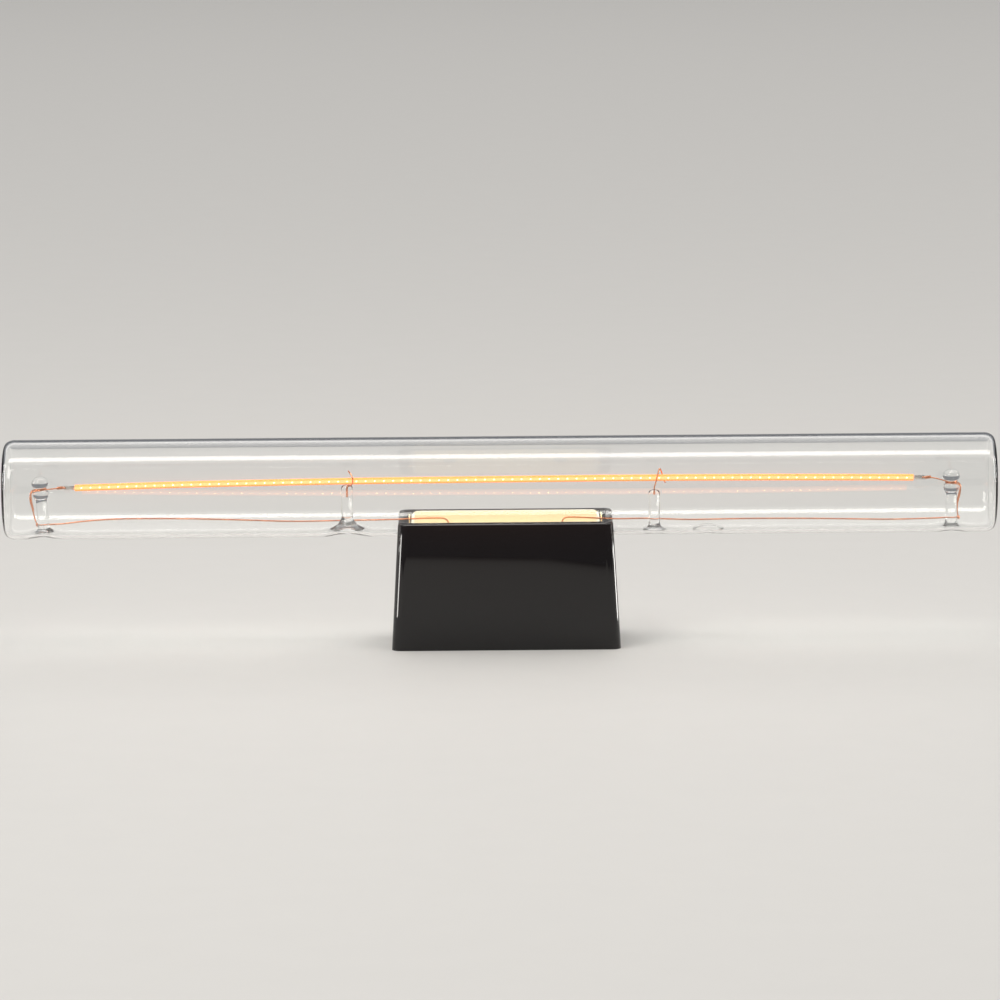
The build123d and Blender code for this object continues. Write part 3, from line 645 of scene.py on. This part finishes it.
# A fine hook of copper wire in the top of each middle post keeps the filament from swinging. The left
# one passes before the filament, and the right one bends over it like a tent.

HOOK_R = 0.2 * MM

for side in ("left", "right"):
    x = MID_POST_X[side] / MM
    if side == "left":
        points = [(x, 0, -3), (x, 0, 0.1), (x + 1.2, -1.0, 0.5), (x + 1.8, -1.15, 1.4),
                  (x + 1.8, -1.05, 3.0), (x + 1.2, 0.2, 3.9), (x + 0.4, 0.5, 4.9)]
    else:
        points = [(x, 0, -3), (x, 0, -1.2), (x + 0.1, -0.7, -0.4), (x + 0.4, -1.15, 0.5),
                  (x + 1.0, -1.1, 3.1), (x + 1.65, -0.1, 5.2), (x + 2.3, 1.1, 3.6), (x + 3.0, 1.2, 1.2),
                  (x + 3.4, 1.0, 0.4)]
    hook = path_object("hook_wire_" + side, [[(p, 1.0) for p in bent(points)]])
    add_tree(hook, ROUND, section_radius=HOOK_R, sides=10, finish=COPPER)
    hook = settle("copper_hook_" + side, hook, LAMP)
    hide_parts("hook_wire_" + side)
    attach(hook, "root")


# Each end of the filament is crimped into a tinned steel tab with a hole for its lead. The tab is
# stamped from thin sheet, so its faces are flat and its edges only a little rounded.

TINNED = material("tinned sheet", (0.72, 0.70, 0.66), 0.32, metallic=1.0, grain=0.3, mottle=0.08, wear=0.1)


def softened(node, finish, width, steps=2, sharp=32):
    """The frame's node as one closed shell with rounded edges. The node itself stays as it is."""
    mesh = frame["nodes"][node].data.copy()
    mesh.name = node + " softened"
    form = bmesh.new()
    form.from_mesh(mesh)
    bmesh.ops.remove_doubles(form, verts=form.verts, dist=0.002 * MM)
    bmesh.ops.dissolve_limit(form, angle_limit=math.radians(0.5), verts=form.verts, edges=form.edges)
    for face in form.faces:
        face.smooth = True
    form.to_mesh(mesh)
    form.free()
    mesh.materials.clear()
    mesh.materials.append(finish)
    piece = bpy.data.objects.new(node + "_finished", mesh)
    bpy.context.collection.objects.link(piece)
    bevel = piece.modifiers.new("edges", "BEVEL")
    bevel.width = width
    bevel.segments = steps
    bevel.limit_method = "ANGLE"
    bevel.angle_limit = math.radians(sharp)
    bevel.harden_normals = True
    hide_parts(node)
    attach(piece, "root")
    return piece


for side in ("left", "right"):
    softened("filament_tab_" + side, TINNED, 0.04 * MM)


# The cap is one white moulding glued under the tube: a saddle along the glass, and the hollow peg that
# goes down into the holder. A thin bed of cement fills the gap to the glass; its pale colour carries a
# golden tint of painted filament light.

CAP_WHITE = material("white moulded cap", (0.78, 0.72, 0.58), 0.42, grain=0.5, mottle=0.03, wear=0.06)
# The cement's colour is its own pale cream plus a golden tint, which is painted amber light from the
# filament.
CEMENT_WITH_PAINTED_GLOW = material("cement with painted filament glow", (0.76, 0.62, 0.37), 0.75, grain=0.9, grain_size=2.0, mottle=0.07)
WETTED_R = TUBE_R - 0.08 * MM
NEAR_GLASS_R = TUBE_R + 0.1 * MM
for node in ("cap_shell", "cap_lid"):
    softened(node, CAP_WHITE, 0.2 * MM)
cement = softened("cap_cement", CEMENT_WITH_PAINTED_GLOW, 0.05 * MM, sharp=50)
for vertex in cement.data.vertices:  # the bed wets the glass, so its face lies just inside the wall
    up = vertex.co.z - LAMP.translation.z
    out = math.hypot(vertex.co.y, up)
    if out < NEAR_GLASS_R:
        vertex.co.y *= WETTED_R / out
        vertex.co.z = LAMP.translation.z + up * WETTED_R / out
BLADE = material("milled brass", (0.72, 0.53, 0.26), 0.28, metallic=1.0, grain=0.5, mottle=0.1, wear=0.1)
for side in ("left", "right"):
    softened("cap_contact_" + side, BLADE, 0.08 * MM)


# The driver in the peg: a small green board with a bridge rectifier, a driver chip, a smoothing
# capacitor lying in its can, and a fuse resistor, all soldered on by hand or by wave.

BOARD = material("coated board", (0.07, 0.27, 0.13), 0.4, grain=0.5, grain_size=1.5, mottle=0.12)
EPOXY = material("moulded epoxy", (0.03, 0.03, 0.032), 0.5, grain=0.8, mottle=0.1)
CAN = material("drawn can", (0.74, 0.75, 0.77), 0.3, metallic=1.0, grain=0.6, mottle=0.06, wear=0.08)
LACQUER = material("grey-green lacquer", (0.33, 0.43, 0.40), 0.25, grain=0.4, mottle=0.08)
softened("driver_board", BOARD, 0.06 * MM)
for node in ("bridge_rectifier", "driver_chip"):
    softened(node, EPOXY, 0.05 * MM)
softened("smoothing_capacitor", CAN, 0.1 * MM)
softened("fuse_resistor", LACQUER, 0.1 * MM)


# The holder's housing is one deep box of glossy black plastic, drafted so that it leaves its mould, with
# a hollow across its top for the tube. Its outer edges are only lightly broken.

GLOSS_BLACK = material("glossy black moulding", (0.004, 0.004, 0.0045), 0.05, grain=0.03, grain_size=6.0,
                       mottle=0.3, wear=0.02)
housing = softened("holder_housing", GLOSS_BLACK, 0.35 * MM, steps=3)


# Inside the holder: the base plate that closes it below, the white insert with the socket, bowed bronze
# springs, the spring plates at both ends, and brass clamps with steel grub screws for the mains cores.

BASE = material("matt black plate", (0.03, 0.03, 0.032), 0.6, grain=0.9, grain_size=1.6, mottle=0.15)
INSERT = material("white insert", (0.82, 0.81, 0.77), 0.5, grain=0.5, mottle=0.03, wear=0.06)
BRONZE = material("rolled bronze sheet", (0.80, 0.56, 0.27), 0.22, metallic=1.0, grain=0.4, mottle=0.12,
                  wear=0.08)
STEEL = material("zinc plated steel", (0.68, 0.69, 0.71), 0.3, metallic=1.0, grain=0.5, mottle=0.08,
                 wear=0.1)
softened("base_plate", BASE, 0.2 * MM)
softened("contact_carrier", INSERT, 0.15 * MM)
for side in ("left", "right"):
    softened("contact_spring_" + side, BRONZE, 0.06 * MM)
    softened("retaining_clip_" + side, BRONZE, 0.06 * MM)
    softened("terminal_clamp_" + side, BLADE, 0.15 * MM)
softened("terminal_screws", STEEL, 0.08 * MM)


# A plain pale floor under one wide soft ceiling, with a key light from the upper left. Narrow strips above
# and at both sides, and two small lights by the holder, draw bright lines along the edges. The camera
# stands at the photograph's own height, distance and slight roll.

FLOOR_HALF = 12.0
PALE_FLOOR = material("pale floor", (0.62, 0.61, 0.59), 0.55, grain=0.3, grain_size=4.0, mottle=0.015)
floor_mesh = bpy.data.meshes.new("floor")
floor_mesh.from_pydata([(x * FLOOR_HALF, y * FLOOR_HALF, 0) for x, y in ((-1, -1), (1, -1), (1, 1), (-1, 1))],
                       [], [(0, 1, 2, 3)])
floor_mesh.materials.append(PALE_FLOOR)
floor = bpy.data.objects.new("floor", floor_mesh)
bpy.context.collection.objects.link(floor)

world = bpy.data.worlds.new("soft studio")
world.use_nodes = True
world.node_tree.nodes["Background"].inputs["Color"].default_value = (0.82, 0.86, 0.92, 1)
world.node_tree.nodes["Background"].inputs["Strength"].default_value = 0.22
bpy.context.scene.world = world
bpy.context.scene.view_settings.view_transform = "Standard"

OBJECT_MIDDLE = (0, 0, 0.03)
LEFT_EDGE, RIGHT_EDGE = (-0.0344, -0.0165, 0.0202), (0.0344, -0.0165, 0.0202)  # of the holder's front
WARM_WHITE = (1.0, 0.97, 0.93)
LIGHTS = {  # place, aim, width, height and power of each soft light
    "ceiling": ((0.0, 2.4, 3.0), (0.0, 2.4, 0.0), 8.0, 7.0, 190.0),
    "key": ((-0.9, -1.1, 1.4), OBJECT_MIDDLE, 0.9, 0.9, 11.0),
    "overhead strip": ((0.0, -0.15, 1.2), OBJECT_MIDDLE, 1.3, 0.22, 5.0),
    "left strip": ((-1.1, 0.15, 0.35), OBJECT_MIDDLE, 0.10, 0.7, 4.0),
    "right strip": ((1.1, 0.15, 0.35), OBJECT_MIDDLE, 0.10, 0.7, 4.0),
    "left edge light": ((-0.078, -0.0265, 0.0202), LEFT_EDGE, 0.010, 0.040, 0.021),
    "right edge light": ((0.0736, 0.0048, 0.0202), RIGHT_EDGE, 0.009, 0.040, 0.021),
}
whole_object = bpy.data.collections.new("lit by the side strips")
for piece in bpy.context.scene.objects:
    if piece.type == "MESH" and piece != floor:
        whole_object.objects.link(piece)
holder_alone = bpy.data.collections.new("lit by the edge lights")
holder_alone.objects.link(housing)
for name, (spot, aim, wide, high, power) in LIGHTS.items():
    data = bpy.data.lights.new(name, "AREA")
    data.shape = "RECTANGLE"
    data.size = wide
    data.size_y = high
    data.energy = power
    data.color = WARM_WHITE
    light = bpy.data.objects.new(name, data)
    light.location = spot
    light.rotation_euler = (Vector(aim) - light.location).to_track_quat("-Z", "Y").to_euler()
    light.visible_camera = False
    if "left" in name or "right" in name:  # so low that they would leave pools of light on the floor
        light.light_linking.receiver_collection = holder_alone if "edge" in name else whole_object
    bpy.context.collection.objects.link(light)

bpy.context.scene.use_nodes = True  # a faint bloom round what is brighter than white, as in any photograph
developing = bpy.context.scene.node_tree
developing.nodes.clear()
taken, bloom = developing.nodes.new("CompositorNodeRLayers"), developing.nodes.new("CompositorNodeGlare")
bloom.glare_type = "BLOOM"
bloom.inputs["Threshold"].default_value = 1.15
bloom.inputs["Strength"].default_value = 0.5
bloom.inputs["Size"].default_value = 0.45
bloom.inputs["Tint"].default_value = (1.0, 0.58, 0.20, 1)
print_out = developing.nodes.new("CompositorNodeComposite")
developing.links.new(taken.outputs["Image"], bloom.inputs["Image"])
developing.links.new(bloom.outputs["Image"], print_out.inputs["Image"])

TARGET = Vector((-1.6, 0, 43.2)) * MM
DISTANCE = 1700 * MM
ELEVATION = math.radians(8)
ROLL = math.radians(-0.475)
FRAME_WIDTH = 301.5 * MM  # what the image spans at the tube's axis
camera_data = bpy.data.cameras.new("camera")
camera_data.sensor_width = 36.0
camera_data.lens = camera_data.sensor_width * DISTANCE / FRAME_WIDTH
camera = bpy.data.objects.new("camera", camera_data)
camera.location = TARGET + DISTANCE * Vector((0, -math.cos(ELEVATION), math.sin(ELEVATION)))
look = (TARGET - camera.location).to_track_quat("-Z", "Y").to_matrix().to_4x4()
camera.rotation_euler = (look @ Matrix.Rotation(ROLL, 4, "Z")).to_euler()
bpy.context.collection.objects.link(camera)
bpy.context.scene.camera = camera
